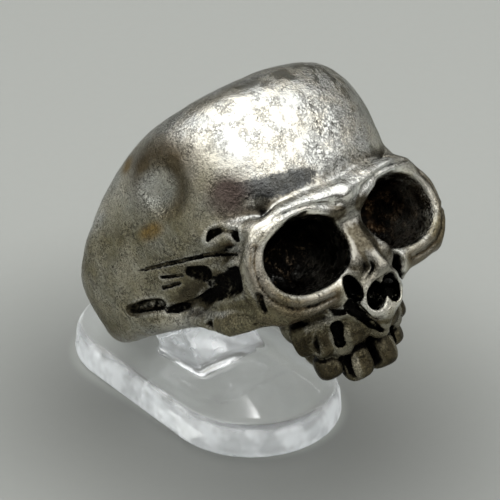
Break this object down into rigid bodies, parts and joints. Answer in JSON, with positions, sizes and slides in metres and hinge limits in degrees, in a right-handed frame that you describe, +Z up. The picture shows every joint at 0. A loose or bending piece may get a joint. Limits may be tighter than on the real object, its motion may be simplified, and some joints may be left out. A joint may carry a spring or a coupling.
{
  "type": "skull ring on a clear display stand",
  "caption": "Chunky cast silver finger ring shaped as a human skull whose crown runs back into the band, clipped by its finger hole on a small clear plastic display stand",
  "frame": {"origin": "middle of the stand's foot, on the table that it stands on", "axes": "+Z is up from the table, the skull's face looks forward along -Y and down, and X runs across the skull; the finger hole leans back 38.5 degrees from upright in the YZ plane"},
  "size_m": [0.0247, 0.0381, 0.0334],
  "materials": {
    "worn_silver": "worn cast silver, rubbed bright on the high places and blackened in the recesses",
    "clear_acrylic": "clear moulded acrylic"
  },
  "bodies": {
    "root": {"skull_ring": "worn_silver", "display_stand": "clear_acrylic"}
  },
  "joints": []
}
